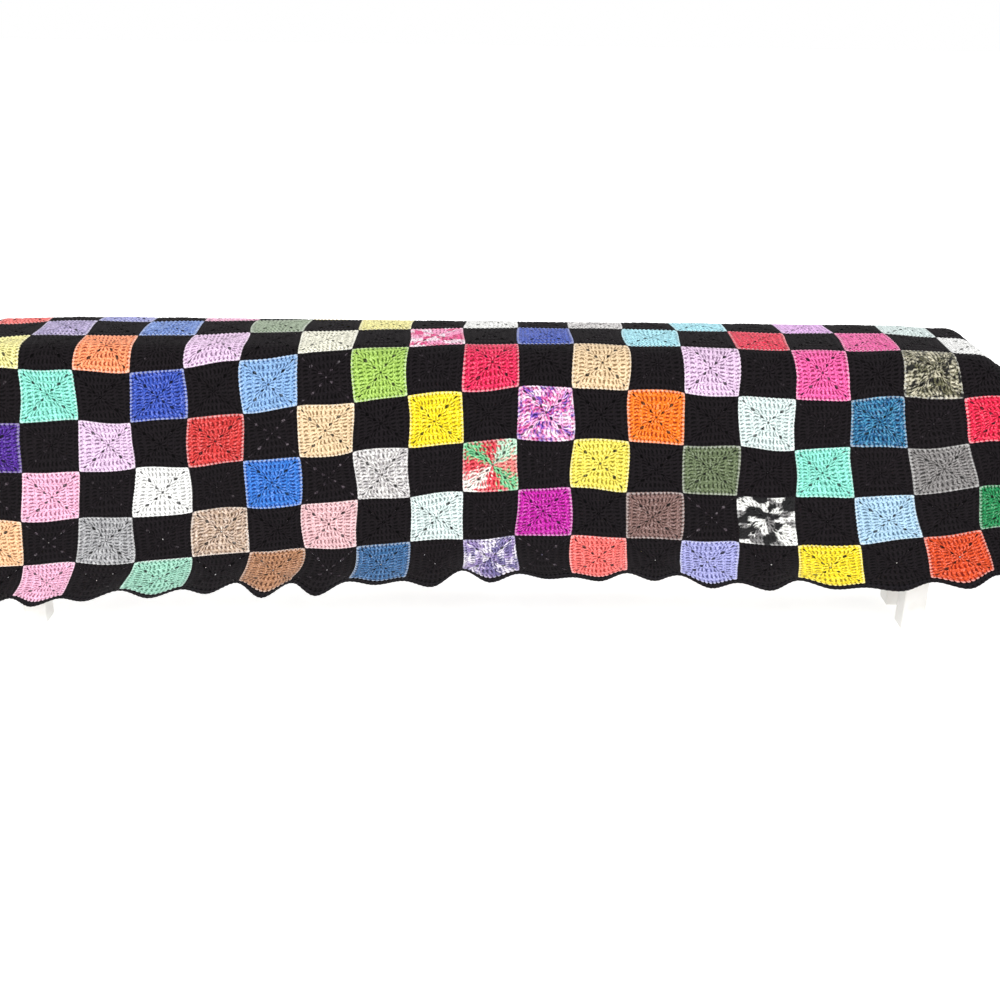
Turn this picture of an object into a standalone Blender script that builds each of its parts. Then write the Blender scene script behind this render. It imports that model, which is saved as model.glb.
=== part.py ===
"""Granny square blanket draped over a plain narrow upholstered bench.

Metres, +Z up. The origin is on the floor under the middle of the bench, +X runs
along the bench and -Y is the front.
"""
import math

import bmesh
import bpy
import numpy as np

for old in list(bpy.data.objects):
    bpy.data.objects.remove(old, do_unlink=True)

# ---- blanket, as it was made flat --------------------------------------------------------
SQUARE = 0.100          # one crocheted square, joined edge to edge
COLUMNS = 23            # squares along the bench
ROWS = 12               # squares from the front hem to the back hem
BORDER = 0.013          # width of the crocheted border round the field
JOIN_GAP = 0.0004       # between the field and its border
CLOTH = 0.004           # thickness of the crochet
CENTRE_HOLE = 0.0042    # half the hole that the starting ring leaves in each square

# ---- bench ---------------------------------------------------------------------------------
BENCH_LENGTH = 1.915
BENCH_DEPTH = 0.260
SEAT_HEIGHT = 0.575     # top of the pad at its rim
PAD_THICK = 0.110
EDGE_ROUND = 0.070      # radius of the pad's long and short edges
CROWN = 0.010           # rise of the pad's middle over its rim
CROWN_FADE = 0.150      # the crown runs out over this length at both ends
CROWN_CUTS = (-0.78, -0.45, 0.0, 0.45, 0.78)    # places along the pad where its top is divided
BODY_BOTTOM = 0.235
LEG = 0.045
LEG_INSET = 0.055       # from the body's faces
TOUCH = 0.0003          # left between faces that meet
UPHOLSTERY = (0.83, 0.82, 0.79)
LEG_WOOD = (0.78, 0.76, 0.72)

# ---- how the blanket lies on it --------------------------------------------------------------
REST_GAP = 0.0025                                   # from the pad's rim to the cloth's underside
MIDDLE_GAP = 0.0008                                 # the same over the middle, where the cloth rests
SIDE_GAP = 0.0055                                   # from the bench's faces to the cloth's middle
TOP = SEAT_HEIGHT + REST_GAP + CLOTH / 2            # height of the cloth's middle at the rim
FOLD_ROUND = 0.050                                  # radius in which the cloth turns over an edge
HALF_LONG = BENCH_LENGTH / 2 + SIDE_GAP - FOLD_ROUND    # flat part of the top, to where it turns
HALF_DEEP = BENCH_DEPTH / 2 + SIDE_GAP - FOLD_ROUND
ARC = FOLD_ROUND * math.pi / 2                      # cloth taken up by that turn
LAID_OFF = 0.025        # the bench's middle lies this far to the left of the blanket's

# The blanket was laid a little askew: how far it is slid towards the back, along its length.
SLIDE = (  # place, slide
    (-1.17, -0.046), (-0.85, -0.044), (-0.65, -0.049), (-0.45, -0.026), (-0.25, 0.000),
    (-0.05, 0.023), (0.15, 0.032), (0.35, 0.023), (0.55, 0.012), (0.75, 0.017), (1.17, 0.029),
)
# Each corner hangs as one open cone. The table follows the cloth round the corner: the angle
# measured in the cloth from the line that hangs down the long side's edge, and the direction
# in which that line of the cloth hangs, as angles from straight down: outwards past the end of
# the bench, and away from its long side. The last column is how far a corner's own lean counts.
CORNER_CONE = (  # cloth angle, outwards, away, share of lean
    (-48.0, -48.0, 0.0, 0.0), (-35.0, -34.0, 0.0, 0.25), (-20.0, -16.5, 0.0, 0.6),
    (-8.0, -3.0, 0.0, 0.9), (0.0, 5.0, 0.5, 1.0), (10.0, 14.0, 4.0, 1.0), (20.0, 23.0, 8.0, 1.0),
    (30.0, 32.0, 8.0, 0.9), (40.0, 38.5, 3.0, 0.7), (50.0, 39.0, -5.0, 0.5),
    (60.0, 33.0, -9.0, 0.3), (70.0, 24.0, -10.5, 0.15), (80.0, 14.5, -10.5, 0.0),
    (89.0, 6.0, -9.5, 0.0), (96.0, 2.0, -10.0, 0.0), (102.0, 0.0, -12.5, 0.0),
    (107.0, 0.0, -17.0, 0.0), (112.0, 0.0, -22.0, 0.0), (117.0, 0.0, -27.0, 0.0),
)
CORNER_LEAN = {  # end, side: degrees that the cone leans outwards beyond the table
    (1, -1): 5.0, (-1, -1): 4.0, (1, 1): 1.0, (-1, 1): 3.0,
}
# Soft swells that stand out from the two long sides and grow towards the hem.
FRONT_SWELLS = (  # place, half width, depth at the hem
    (-0.92, 0.10, 0.012), (-0.66, 0.11, 0.014), (-0.33, 0.13, 0.010), (0.02, 0.10, 0.007),
    (0.30, 0.12, 0.011), (0.57, 0.10, 0.008), (0.83, 0.12, 0.014),
)
BACK_SWELLS = (
    (-0.84, 0.13, 0.016), (-0.48, 0.11, 0.010), (-0.14, 0.14, 0.013), (0.24, 0.11, 0.009),
    (0.60, 0.14, 0.017), (0.90, 0.10, 0.010),
)
BELLY = 0.010           # how far the hanging cloth stands out over its whole length
HEM_REACH = 0.125       # the last row turns in and scallops over this distance from the hem
HEM_TUCK = 0.040        # how far the long hems turn in under, at the joins between squares
TUCK_FADE = 0.35        # towards the corners the tuck fades out over this distance
HEM_PUFF = 0.010        # half the swing of a hem between a join and the middle of a square
HEM_DIP = 0.0055        # half the difference in length between a join and a middle
HEM_RISE = 0.008        # length that the turning in takes up
HEM_DROP = 0.100        # a long hem that hangs less than this far down scallops less
FLAP_SPREAD = 0.080     # an end hem scallops from this far beside the flat top
# The front panel is pulled sideways and up a little, more so towards its hem, and its last row
# of squares leans. The tables give that at the hem, and how each hem bows at its joins and at
# the middles of its squares: below 0 drawn in, above 0 standing out and hanging lower.
FRONT_DRAW = (  # place, panel along, panel up, last row along, share of the turning in
    (-1.15, 0.041, -0.001, -0.020, 1.0), (-0.90, 0.040, 0.020, -0.033, 1.0),
    (-0.70, -0.007, 0.048, -0.034, 1.1), (-0.50, -0.008, 0.037, -0.030, 1.1),
    (-0.30, 0.003, 0.023, -0.034, 1.0), (-0.10, 0.002, 0.013, -0.008, 1.0),
    (0.10, 0.003, 0.014, 0.006, 1.0), (0.40, 0.025, 0.020, 0.004, 0.9),
    (0.60, 0.044, 0.034, 0.000, 0.7), (0.70, 0.049, 0.049, 0.000, 0.2),
    (0.80, 0.032, 0.059, 0.010, -0.15), (1.00, 0.016, 0.061, 0.000, -0.1),
    (1.15, 0.000, 0.056, 0.000, 0.2),
)
LONG_JOINS = (0.0, -0.6, -0.9, -0.3, 0.1, -1.8, -1.8, -1.7, -1.3, -0.5, 0.0, -1.1, 0.0, 0.7, -0.6,
              -1.0, -0.2, -1.6, -0.1, -0.7, -0.2, -0.9, -0.5, 0.0)
LONG_MIDDLES = (0.6, 0.8, 0.9, 1.4, 0.3, -0.4, -0.3, 1.0, 1.3, 0.6, 1.4, 1.2, 0.8, 1.4, 0.4, 0.9,
                0.5, 0.1, 0.8, 0.9, 0.6, 0.9, 0.5)
END_JOINS = (0.0, -0.8, -0.3, -1.2, -0.5, 0.1, -1.0, -0.6, 0.2, -1.1, -0.4, -0.7, 0.0)
END_MIDDLES = (0.4, 0.9, 0.5, 1.2, 0.3, 0.8, 1.1, 0.6, 1.0, 0.4, 0.8, 0.5)


def through(table, column, at):
    """Smooth curve through one column of a table, read at the places given."""
    places = np.array([row[0] for row in table])
    values = np.array([row[column] for row in table])
    slopes = np.gradient(values, places)
    at = np.clip(at, places[0], places[-1])
    k = np.clip(np.searchsorted(places, at) - 1, 0, len(places) - 2)
    step = places[k + 1] - places[k]
    t = (at - places[k]) / step
    return (
        values[k] * (1 + 2 * t) * (1 - t) ** 2 + values[k + 1] * t * t * (3 - 2 * t)
        + step * (slopes[k] * t * (1 - t) ** 2 - slopes[k + 1] * t * t * (1 - t))
    )


def soft_step(t):
    t = np.clip(t, 0.0, 1.0)
    return t * t * (3 - 2 * t)


def hang_direction(outwards, forwards):
    """Unit vector at those angles (degrees) from straight down."""
    lean = np.radians(np.hypot(outwards, forwards))
    share = np.sinc(lean / math.pi)
    return np.stack([np.radians(outwards) * share, np.radians(forwards) * share, -np.cos(lean)], -1)


def bend_over(length):
    """Sideways and downward travel of cloth that turns over a rounded edge."""
    turn = np.clip(length / FOLD_ROUND, 0.0, math.pi / 2)
    return FOLD_ROUND * np.sin(turn), FOLD_ROUND * (1 - np.cos(turn)) + np.maximum(length - ARC, 0.0)


def crown_rise(x, y, half_width):
    """Rise of a crowned top over its rim, highest along the middle and gone at the ends."""
    across = 1 - np.clip(y / half_width, -1, 1) ** 2
    return CROWN * across * soft_step((HALF_LONG - np.abs(x)) / CROWN_FADE)


def draped(u, v):
    """Middle of the cloth for points of the flat blanket, before swells and scallops."""
    p, q = u + LAID_OFF, v + through(SLIDE, 1, u)
    past_end, past_side = np.abs(p) - HALF_LONG, np.abs(q) - HALF_DEEP
    to_end, to_side = np.where(p < 0, -1.0, 1.0), np.where(q < 0, -1.0, 1.0)
    reach = np.hypot(np.maximum(past_end, 0), np.maximum(past_side, 0))
    out, down = bend_over(reach)
    share_end = np.divide(np.maximum(past_end, 0), reach, out=np.zeros_like(reach), where=reach > 0)
    share_side = np.divide(np.maximum(past_side, 0), reach, out=np.zeros_like(reach), where=reach > 0)
    # the corner cone, measured round the corner of the flat top
    ray = np.hypot(past_end, past_side)
    angle = np.degrees(np.arctan2(past_end, past_side))
    lean = np.zeros_like(u)
    for (end, side), degrees in CORNER_LEAN.items():
        lean[(to_end == end) & (to_side == side)] = degrees
    outwards = through(CORNER_CONE, 1, angle) + lean * through(CORNER_CONE, 3, angle)
    cone_ray = hang_direction(outwards, through(CORNER_CONE, 2, angle))
    plain = hang_direction(np.minimum(angle, 0.0), -np.maximum(angle - 90.0, 0.0))
    near = (angle > CORNER_CONE[0][0]) & (angle < CORNER_CONE[-1][0])
    cone = (near * ray * soft_step(ray / (2 * ARC)))[..., None] * (cone_ray - plain)
    x = to_end * (np.minimum(np.abs(p), HALF_LONG) + share_end * out + cone[..., 0])
    y = to_side * (np.minimum(np.abs(q), HALF_DEEP) + share_side * out + cone[..., 1])
    height = TOP + crown_rise(p, q, BENCH_DEPTH / 2) - down + cone[..., 2]
    return np.stack([x - LAID_OFF, y, height], -1)


def swell(u, table):
    total = np.zeros_like(u)
    for place, half_width, depth in table:
        total += depth * np.exp(-(((u - place) / half_width) ** 2))
    return total


def hem_table(joins, middles):
    """Places along a hem and how it bows there, from its joins and its squares' middles."""
    half = len(middles) / 2
    rows = [((k - half) * SQUARE, value) for k, value in enumerate(joins)]
    return sorted(rows + [((k + 0.5 - half) * SQUARE, value) for k, value in enumerate(middles)])


LONG_HEM = hem_table(LONG_JOINS, LONG_MIDDLES)
END_HEM = hem_table(END_JOINS, END_MIDDLES)


def frame_of(shape, u, v, step=0.003):
    """Unit vectors along, across and out of a surface, for points of the flat blanket."""
    along = shape(u + step, v) - shape(u - step, v)
    across = shape(u, v + step) - shape(u, v - step)
    out = np.cross(along, across)
    return [vector / np.linalg.norm(vector, axis=-1)[..., None] for vector in (along, across, out)]


def hung(u, v):
    """Middle of the hung cloth, with its swells and the scallops of its hems."""
    along, across, out = frame_of(draped, u, v)
    half_u, half_v = COLUMNS * SQUARE / 2, ROWS * SQUARE / 2
    q = v + through(SLIDE, 1, u)
    drop = np.maximum(np.abs(q) - HALF_DEEP - ARC, 0.0)
    share = np.clip(drop / (half_v - HALF_DEEP - ARC), 0.0, 1.0)
    swells = np.where(q < 0, swell(u, FRONT_SWELLS), swell(u, BACK_SWELLS))
    stand_out = swells * soft_step(share) + BELLY * np.sin(math.pi * share ** 0.8)
    # the long hems turn in, and each square of a hem bows out and down between its joins
    hem_side = np.clip(1 - (half_v - np.abs(v)) / HEM_REACH, 0.0, 1.1) ** 2 * soft_step(drop / HEM_DROP)
    hem_end = np.clip(1 - (half_u - np.abs(u)) / HEM_REACH, 0.0, 1.1) ** 2
    hem_end = hem_end * soft_step((np.abs(q) - HALF_DEEP) / FLAP_SPREAD)
    bow_u = through(LONG_HEM, 1, np.where(q < 0, u, -u))
    bow_v = through(END_HEM, 1, np.where(u < 0, v, -v))
    front = (q < 0) * share
    turn_in = np.where(q < 0, through(FRONT_DRAW, 4, u), 1.0)
    tucked = turn_in * hem_side * soft_step((half_u - np.abs(u)) / TUCK_FADE)
    stand_out = stand_out + HEM_PUFF * (1 + bow_u) * hem_side - HEM_TUCK * tucked
    stand_out = stand_out + HEM_PUFF * (1 + bow_v) * hem_end
    longer_side = np.sign(v) * (HEM_DIP * bow_u * hem_side - HEM_RISE * tucked)
    longer_side = longer_side + through(FRONT_DRAW, 2, u) * front
    longer_end = np.sign(u) * HEM_DIP * bow_v * hem_end + through(FRONT_DRAW, 1, u) * front
    longer_end = longer_end + through(FRONT_DRAW, 3, u) * hem_side * (q < 0)
    return (draped(u, v) + out * stand_out[..., None] + across * longer_side[..., None]
            + along * longer_end[..., None])


def blanket_point(u, v, w):
    """Where a point of the flat blanket hangs: u along, v across, w up from its middle."""
    out = frame_of(hung, u, v)[2]
    return hung(u, v) + out * w[..., None]


def paint(obj, name, colour, roughness):
    material = bpy.data.materials.new(name)
    material.use_nodes = True
    shader = material.node_tree.nodes["Principled BSDF"]
    shader.inputs["Base Color"].default_value = (*colour, 1.0)
    shader.inputs["Roughness"].default_value = roughness
    obj.data.materials.append(material)


def finish(bm, name, colour, roughness):
    """Turn a bmesh into a named, smooth-shaded object at the origin."""
    mesh = bpy.data.meshes.new(name)
    bm.to_mesh(mesh)
    bm.free()
    obj = bpy.data.objects.new(name, mesh)
    bpy.context.scene.collection.objects.link(obj)
    mesh.shade_smooth()
    mesh.set_sharp_from_angle(angle=math.radians(50))
    paint(obj, name, colour, roughness)
    return obj


def slant(vert):
    return vert.co.x + vert.co.y / 3


def hang(bm, thickness):
    """Give a flat sheet its thickness, then move its points to where the blanket hangs."""
    bmesh.ops.triangulate(bm, faces=list(bm.faces))
    for vert in bm.verts:
        vert.co.z = -thickness / 2
    upper = bmesh.ops.extrude_face_region(bm, geom=list(bm.faces), use_keep_orig=True)["geom"]
    for vert in upper:
        if isinstance(vert, bmesh.types.BMVert):
            vert.co.z = thickness / 2
    bmesh.ops.recalc_face_normals(bm, faces=list(bm.faces))
    # every wall is split along the same slant, so that two walls that face each other match
    for wall in [face for face in bm.faces if len(face.verts) == 4]:
        low = min((vert for vert in wall.verts if vert.co.z < 0), key=slant)
        high = max((vert for vert in wall.verts if vert.co.z > 0), key=slant)
        bmesh.utils.face_split(wall, low, high)
    flat = np.array([vert.co[:] for vert in bm.verts])
    for vert, place in zip(bm.verts, blanket_point(*flat.T)):
        vert.co = place


def blanket_field():
    """The joined squares: a grid of half squares whose middle points open into the ring holes."""
    bm = bmesh.new()
    bmesh.ops.create_grid(bm, x_segments=2 * COLUMNS, y_segments=2 * ROWS, size=0.5)
    for vert in bm.verts:
        vert.co.x *= COLUMNS * SQUARE
        vert.co.y *= ROWS * SQUARE
    middles = []
    for vert in bm.verts:
        column = round((vert.co.x / SQUARE + COLUMNS / 2) * 2)
        row = round((vert.co.y / SQUARE + ROWS / 2) * 2)
        if column % 2 and row % 2:
            middles.append(vert)
    cut = bmesh.ops.bevel(bm, geom=middles, offset=CENTRE_HOLE, affect="VERTICES", segments=1)
    bmesh.ops.delete(bm, geom=[face for face in cut["faces"]], context="FACES_ONLY")
    hang(bm, CLOTH)
    finish(bm, "blanket", (0.03, 0.03, 0.032), 0.9)


def blanket_border():
    """The black crocheted border, a narrow ring round the field."""
    bm = bmesh.new()
    half_u, half_v = COLUMNS * SQUARE / 2, ROWS * SQUARE / 2
    walk = []
    walk += [(-half_u + k * SQUARE / 2, -half_v) for k in range(2 * COLUMNS)]
    walk += [(half_u, -half_v + k * SQUARE / 2) for k in range(2 * ROWS)]
    walk += [(half_u - k * SQUARE / 2, half_v) for k in range(2 * COLUMNS)]
    walk += [(-half_u, half_v - k * SQUARE / 2) for k in range(2 * ROWS)]
    rings = []
    for offset in (JOIN_GAP, BORDER):
        ring = []
        for u, v in walk:
            on_end, on_side = abs(u) > half_u - 1e-6, abs(v) > half_v - 1e-6
            ring.append(bm.verts.new((
                u + math.copysign(offset, u) * on_end, v + math.copysign(offset, v) * on_side, 0.0)))
        rings.append(ring)
    inner, outer = rings
    for k in range(len(walk)):
        after = (k + 1) % len(walk)
        bm.faces.new((outer[k], outer[after], inner[after], inner[k]))
    hang(bm, CLOTH)
    finish(bm, "border", (0.02, 0.02, 0.022), 0.9)


def block(name, low, high, colour, roughness, rounding=0.0, segments=1):
    bm = bmesh.new()
    bmesh.ops.create_cube(bm, size=1.0)
    for vert in bm.verts:
        for axis in range(3):
            vert.co[axis] = low[axis] if vert.co[axis] < 0 else high[axis]
    obj = finish(bm, name, colour, roughness)
    if rounding:
        bevel = obj.modifiers.new("Rounded edges", "BEVEL")
        bevel.width = rounding
        bevel.segments = segments
    return obj


def bench_pad():
    """The foam pad under the cloth: a slab with rounded upper edges and corners, and a crown."""
    flat_x, flat_y = BENCH_LENGTH / 2 - EDGE_ROUND, BENCH_DEPTH / 2 - EDGE_ROUND
    profile = []
    for degrees in range(15, 91, 15):
        turn = math.radians(degrees)
        profile.append((EDGE_ROUND * math.sin(turn), EDGE_ROUND * (1 - math.cos(turn))))
    profile.append((EDGE_ROUND, PAD_THICK))
    bm = bmesh.new()
    rings = []
    for reach, drop in profile:
        ring = []
        for sign_x, sign_y in ((1, -1), (1, 1), (-1, 1), (-1, -1)):
            start = math.atan2(sign_y, sign_x) - math.pi / 4
            for step in range(4):
                heading = start + math.pi / 6 * step
                x = sign_x * flat_x + reach * math.cos(heading)
                y = sign_y * flat_y + reach * math.sin(heading)
                ring.append(bm.verts.new((x, y, SEAT_HEIGHT - drop)))
        rings.append(ring)
    for upper, lower in zip(rings, rings[1:]):
        for k in range(len(upper)):
            after = (k + 1) % len(upper)
            bm.faces.new((upper[k], lower[k], lower[after], upper[after]))
    bm.faces.new(list(reversed(rings[-1])))
    bm.faces.new(rings[0])
    # the top is divided, then raised into its crown, which carries the cloth along its middle
    for place in CROWN_CUTS:
        bmesh.ops.bisect_plane(bm, geom=list(bm.verts) + list(bm.edges) + list(bm.faces),
                               plane_co=(place, 0, 0), plane_no=(1, 0, 0))
    for place in (-flat_y / 2, 0.0, flat_y / 2):
        bmesh.ops.bisect_plane(bm, geom=list(bm.verts) + list(bm.edges) + list(bm.faces),
                               plane_co=(0, place, 0), plane_no=(0, 1, 0))
    first_drop = profile[0][1]
    for vert in bm.verts:
        if vert.co.z > SEAT_HEIGHT - first_drop - 1e-6:
            share = float(crown_rise(vert.co.x, vert.co.y, flat_y)) / CROWN
            vert.co.z += share * (CROWN + first_drop + REST_GAP - MIDDLE_GAP)
    bmesh.ops.translate(bm, verts=list(bm.verts), vec=(-LAID_OFF, 0.0, 0.0))
    bmesh.ops.recalc_face_normals(bm, faces=list(bm.faces))
    finish(bm, "bench_pad", UPHOLSTERY, 0.85)


def bench():
    """Pad, padded body and four square legs, plain and pale."""
    bench_pad()
    body_top = SEAT_HEIGHT - PAD_THICK - TOUCH
    half_x, half_y = BENCH_LENGTH / 2, BENCH_DEPTH / 2
    block("bench_body", (-LAID_OFF - half_x, -half_y, BODY_BOTTOM), (-LAID_OFF + half_x, half_y, body_top),
          UPHOLSTERY, 0.85, rounding=0.012, segments=3)
    near_x, near_y = half_x - LEG_INSET - LEG, half_y - LEG_INSET - LEG
    for end_name, end in (("left", -1), ("right", 1)):
        for side_name, side in (("front", -1), ("back", 1)):
            xs = sorted((end * near_x - LAID_OFF, end * (near_x + LEG) - LAID_OFF))
            ys = sorted((side * near_y, side * (near_y + LEG)))
            block(f"leg_{side_name}_{end_name}", (xs[0], ys[0], 0.0), (xs[1], ys[1], BODY_BOTTOM - TOUCH),
                  LEG_WOOD, 0.5, rounding=0.003, segments=2)


blanket_field()
blanket_border()
bench()
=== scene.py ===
"""Granny square blanket draped over a plain narrow upholstered bench."""
import math

import bmesh
import bpy
import numpy as np
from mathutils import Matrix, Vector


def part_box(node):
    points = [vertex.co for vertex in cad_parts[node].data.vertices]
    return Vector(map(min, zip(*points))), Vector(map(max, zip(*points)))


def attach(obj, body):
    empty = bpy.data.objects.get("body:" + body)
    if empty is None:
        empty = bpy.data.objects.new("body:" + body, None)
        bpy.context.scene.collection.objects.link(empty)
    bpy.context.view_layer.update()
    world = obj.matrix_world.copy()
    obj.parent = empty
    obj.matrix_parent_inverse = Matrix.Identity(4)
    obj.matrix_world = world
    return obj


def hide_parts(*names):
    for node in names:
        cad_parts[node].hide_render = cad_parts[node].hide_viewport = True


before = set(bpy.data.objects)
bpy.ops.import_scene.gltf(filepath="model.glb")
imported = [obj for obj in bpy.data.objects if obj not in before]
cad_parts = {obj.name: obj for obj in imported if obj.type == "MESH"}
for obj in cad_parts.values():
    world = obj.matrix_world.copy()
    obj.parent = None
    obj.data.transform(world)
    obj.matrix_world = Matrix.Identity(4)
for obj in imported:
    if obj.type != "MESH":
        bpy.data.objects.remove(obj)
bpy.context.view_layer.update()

# ---- Legs ------------------------------------------------------------------------------------
# Four square hardwood legs, painted a warm off-white by brush. They are screwed up into the
# bench's body, so nothing of their fixing shows.
LEGS = ("leg_front_left", "leg_front_right", "leg_back_left", "leg_back_right")
LEG_PAINT = (0.86, 0.85, 0.82)
LEG_PAINT_WORN = (0.74, 0.72, 0.68)


def put(tree, kind, inputs, **settings):
    """A shader node with its settings, and with each input set to a value or joined to a socket."""
    made = tree.nodes.new("ShaderNode" + kind)
    for name, value in settings.items():
        setattr(made, name, value)
    for key, value in inputs.items():
        if isinstance(value, bpy.types.NodeSocket):
            tree.links.new(value, made.inputs[key])
        else:
            made.inputs[key].default_value = value
    return made


def new_material(name, **values):
    """A material, its node tree and its shader, with plain values set on the shader."""
    material = bpy.data.materials.new(name)
    material.use_nodes = True
    shader = material.node_tree.nodes["Principled BSDF"]
    for socket, value in values.items():
        shader.inputs[socket.replace("_", " ")].default_value = value
    return material, material.node_tree, shader


def blend_colours(tree, share, first, second):
    """The colour socket of a mix between two colours."""
    inputs = {0: share, 6: first, 7: second}
    for key in (6, 7):
        if isinstance(inputs[key], tuple) and len(inputs[key]) == 3:
            inputs[key] = (*inputs[key], 1.0)
    return put(tree, "Mix", inputs, data_type="RGBA").outputs[2]


def calculate(tree, operation, *values):
    """The socket of one step of arithmetic."""
    return put(tree, "Math", dict(enumerate(values)), operation=operation).outputs[0]


leg_paint, tree, shader = new_material("Brushed leg paint", Roughness=0.42)
place = put(tree, "TexCoord", {}).outputs["Object"]
strokes = put(tree, "Mapping", {"Vector": place, "Scale": (1.0, 1.0, 0.06)}).outputs[0]
streaks = put(tree, "TexNoise", {"Vector": strokes, "Scale": 420.0, "Detail": 4.0}).outputs[0]
patches = put(tree, "TexNoise", {"Vector": place, "Scale": 14.0, "Detail": 3.0}).outputs[0]
worn = put(tree, "MapRange", {0: patches, 1: 0.52, 2: 0.78}).outputs[0]
paint = blend_colours(tree, worn, LEG_PAINT, LEG_PAINT_WORN)
tree.links.new(paint, shader.inputs["Base Color"])
dull = put(tree, "MapRange", {0: streaks, 3: 0.36, 4: 0.56}).outputs[0]
tree.links.new(dull, shader.inputs["Roughness"])
ridges = put(tree, "Bump", {"Strength": 0.25, "Distance": 0.0004, "Height": streaks}).outputs[0]
tree.links.new(ridges, shader.inputs["Normal"])
for name in LEGS:
    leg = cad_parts[name]
    leg.data.materials.clear()
    leg.data.materials.append(leg_paint)

# ---- Bench body ------------------------------------------------------------------------------
# A timber box covered all over in a pale plain-woven furnishing cloth, pulled tight and stapled
# underneath. A thin welt of the same cloth follows the seam round its lower edge.
BODY_ROUND = 0.012
WELT = 0.0035           # radius of the welt cord
WELT_SUNK = 0.0028      # how far the cord's middle lies inside the faces
WEAVE = 0.0016          # from one thread to the next
CLOTH_LIGHT = (0.77, 0.755, 0.715)
CLOTH_SHADE = (0.66, 0.645, 0.60)


def start_box(name, low, high):
    """A cube primitive that fills a box, in edit mode, with nothing else selected."""
    bpy.ops.object.select_all(action="DESELECT")
    middle = [(a + b) / 2 for a, b in zip(low, high)]
    size = [b - a for a, b in zip(low, high)]
    bpy.ops.mesh.primitive_cube_add(size=1.0, location=middle, scale=size)
    obj = bpy.context.object
    obj.name = obj.data.name = name
    bpy.ops.object.transform_apply(location=True, rotation=True, scale=True)
    bpy.ops.object.mode_set(mode="EDIT")
    bpy.ops.mesh.select_mode(type="EDGE")
    bpy.ops.mesh.select_all(action="DESELECT")
    return obj


def select_edges(obj, wanted):
    """Select the edges whose two ends pass a test."""
    mesh = bmesh.from_edit_mesh(obj.data)
    for edge in mesh.edges:
        edge.select_set(wanted(edge.verts[0].co, edge.verts[1].co))
    bmesh.update_edit_mesh(obj.data)


def slice_across(axis, places):
    """Cut the whole of the piece that is being edited across an axis at each place."""
    normal = [float(k == axis) for k in range(3)]
    for spot in places:
        bpy.ops.mesh.select_all(action="SELECT")
        bpy.ops.mesh.bisect(plane_co=[spot * part for part in normal], plane_no=normal)


def leave(obj, material):
    """Finish a piece: smooth it, give it its material, and let it ride."""
    if bpy.context.mode != "OBJECT":
        bpy.ops.object.mode_set(mode="OBJECT")
    bpy.ops.object.select_all(action="DESELECT")
    obj.select_set(True)
    bpy.context.view_layer.objects.active = obj
    bpy.ops.object.shade_smooth_by_angle(angle=math.radians(40))
    obj.data.materials.clear()
    obj.data.materials.append(material)
    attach(obj, "root")


def welt_round(name, low, high, rounding, height):
    """A cord laid round a box with rounded corners at one height, as a mesh tube."""
    bpy.ops.object.select_all(action="DESELECT")
    middle = ((low[0] + high[0]) / 2, (low[1] + high[1]) / 2, height)
    bpy.ops.mesh.primitive_plane_add(size=1.0, location=middle)
    obj = bpy.context.object
    obj.name = name
    obj.scale = (high[0] - low[0] - 2 * WELT_SUNK, high[1] - low[1] - 2 * WELT_SUNK, 1)
    bpy.ops.object.transform_apply(location=True, rotation=True, scale=True)
    bpy.ops.object.mode_set(mode="EDIT")
    bpy.ops.mesh.select_all(action="SELECT")
    bpy.ops.mesh.bevel(offset=rounding, segments=6, affect="VERTICES")
    bpy.ops.mesh.select_all(action="SELECT")
    bpy.ops.mesh.delete(type="ONLY_FACE")
    bpy.ops.object.mode_set(mode="OBJECT")
    bpy.ops.object.convert(target="CURVE")
    bpy.context.object.data.bevel_depth = WELT
    bpy.context.object.data.bevel_resolution = 3
    bpy.ops.object.convert(target="MESH")
    obj = bpy.context.object
    obj.name = obj.data.name = name
    return obj


upholstery, tree, shader = new_material("Woven furnishing cloth", Roughness=0.88, Sheen_Weight=0.25,
                                        Sheen_Roughness=0.45)
place = put(tree, "TexCoord", {}).outputs["Object"]
apart = put(tree, "SeparateXYZ", {0: place}).outputs
threads = []
for first, second in ((0, 2), (2, 0), (1, 0)):
    warp = calculate(tree, "SINE", calculate(tree, "MULTIPLY", apart[first], 2 * math.pi / WEAVE))
    weft = calculate(tree, "SINE", calculate(tree, "MULTIPLY", apart[second], math.pi / WEAVE))
    threads.append(calculate(tree, "MULTIPLY", warp, weft))
weave = calculate(tree, "ADD", calculate(tree, "ADD", threads[0], threads[1]), threads[2])
slubs = put(tree, "TexNoise", {"Vector": place, "Scale": 260.0, "Detail": 3.0}).outputs[0]
tone = put(tree, "TexNoise", {"Vector": place, "Scale": 9.0, "Detail": 4.0}).outputs[0]
mixed = calculate(tree, "ADD", calculate(tree, "MULTIPLY", slubs, 0.7),
                  calculate(tree, "MULTIPLY", tone, 0.3))
share = put(tree, "MapRange", {0: mixed, 1: 0.35, 2: 0.65}).outputs[0]
tree.links.new(blend_colours(tree, share, CLOTH_LIGHT, CLOTH_SHADE), shader.inputs["Base Color"])
height = calculate(tree, "ADD", weave, calculate(tree, "MULTIPLY", slubs, 1.5))
bump = put(tree, "Bump", {"Strength": 0.35, "Distance": 0.0005, "Height": height}).outputs[0]
tree.links.new(bump, shader.inputs["Normal"])

low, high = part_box("bench_body")
body = start_box("body_cover", low, high)
select_edges(body, lambda a, b: True)
bpy.ops.mesh.bevel(offset=BODY_ROUND, segments=4)
slice_across(0, [low[0] + (high[0] - low[0]) * k / 12 for k in range(1, 12)])
leave(body, upholstery)
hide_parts("bench_body")
body_welt = welt_round("body_welt", low, high, BODY_ROUND, low[2] + 0.016)
leave(body_welt, upholstery)

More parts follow.
